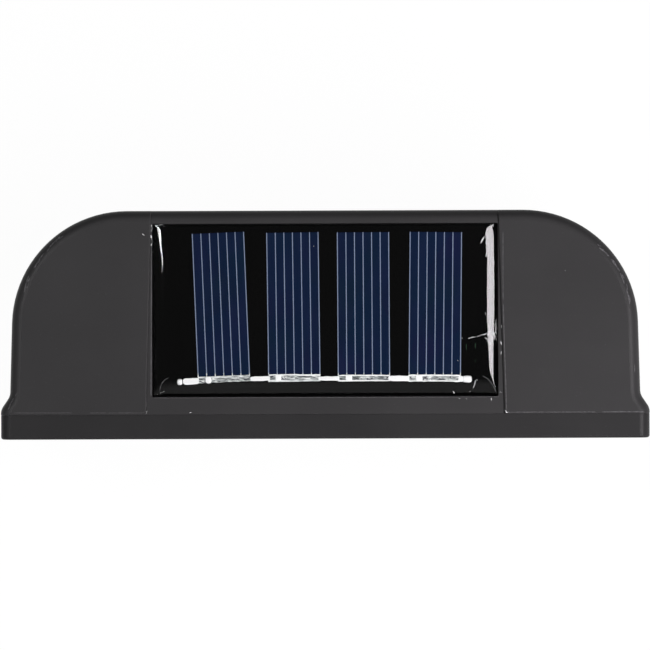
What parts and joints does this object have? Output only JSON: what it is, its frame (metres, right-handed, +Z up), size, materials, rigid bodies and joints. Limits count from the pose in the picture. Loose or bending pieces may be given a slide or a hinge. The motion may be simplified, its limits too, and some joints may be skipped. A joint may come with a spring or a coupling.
{
  "type": "fence light",
  "caption": "Solar wall light with a D-shaped hood, a solar panel on its top, a ribbed lens below and a back plate with keyholes and a slide switch.",
  "frame": {"origin": "centre of the back plate's wall face", "axes": "+X along the light's length, +Y into the wall, +Z up; the hood stands out towards -Y"},
  "size_m": [0.12, 0.0422, 0.0457],
  "materials": {
    "black_shell": "fine moulded texture",
    "frosted_lens": "frosted polycarbonate, ribbed",
    "clear_sealant": "clear sealant",
    "seal_rubber": "matt",
    "foam_pad": "matt",
    "black_board": "solder mask",
    "solar_blue": "dark blue silicon",
    "silver_print": "printed silver",
    "tinned_ribbon": "tinned copper",
    "solder": "bright",
    "clear_epoxy": "clear, glossy",
    "white_tray": "white reflector",
    "green_board": "solder mask",
    "led_package": "phosphor",
    "black_package": "moulded",
    "inductor_sleeve": "shrink sleeve",
    "capacitor_sleeve": "sleeve",
    "resistor_body": "ceramic",
    "battery_sleeve": "shrink sleeve over a steel can",
    "nickel_tab": "nickel",
    "phenolic": "phenolic",
    "switch_knob": "moulded",
    "screw_steel": "zinc plated",
    "red_wire": "insulation",
    "black_wire": "insulation",
    "white_wire": "insulation"
  },
  "bodies": {
    "light": {"top_housing": "black_shell", "back_plate": "black_shell", "keyhole_cups": "black_shell", "diffuser_lens": "frosted_lens", "lens_sealant": "clear_sealant", "back_seal": "seal_rubber", "panel_pad": "foam_pad", "panel_board": "black_board", "solar_cells": "solar_blue", "cell_print": "silver_print", "tab_ribbons": "tinned_ribbon", "solder_joints": "solder", "panel_epoxy": "clear_epoxy", "reflector_tray": "white_tray", "circuit_board": "green_board", "leds": "led_package", "driver_chip": "black_package", "chip_leads": "tinned_ribbon", "inductor": "inductor_sleeve", "capacitor": "capacitor_sleeve", "resistors": "resistor_body", "battery_cell": "battery_sleeve", "battery_tabs": "nickel_tab", "switch_frame": "nickel_tab", "switch_base": "phenolic", "switch_terminals": "tinned_ribbon", "back_screws": "screw_steel", "tray_screws": "screw_steel", "panel_lead_red": "red_wire", "panel_lead_black": "black_wire", "battery_lead_red": "red_wire", "battery_lead_black": "black_wire", "switch_lead_a": "white_wire", "switch_lead_b": "white_wire"},
    "slider": {"switch_slider": "switch_knob"}
  },
  "joints": [
    {"name": "switch_slide", "type": "slide", "parent": "light", "child": "slider", "axis": [1, 0, 0], "range_m": [0, 0.002]}
  ]
}
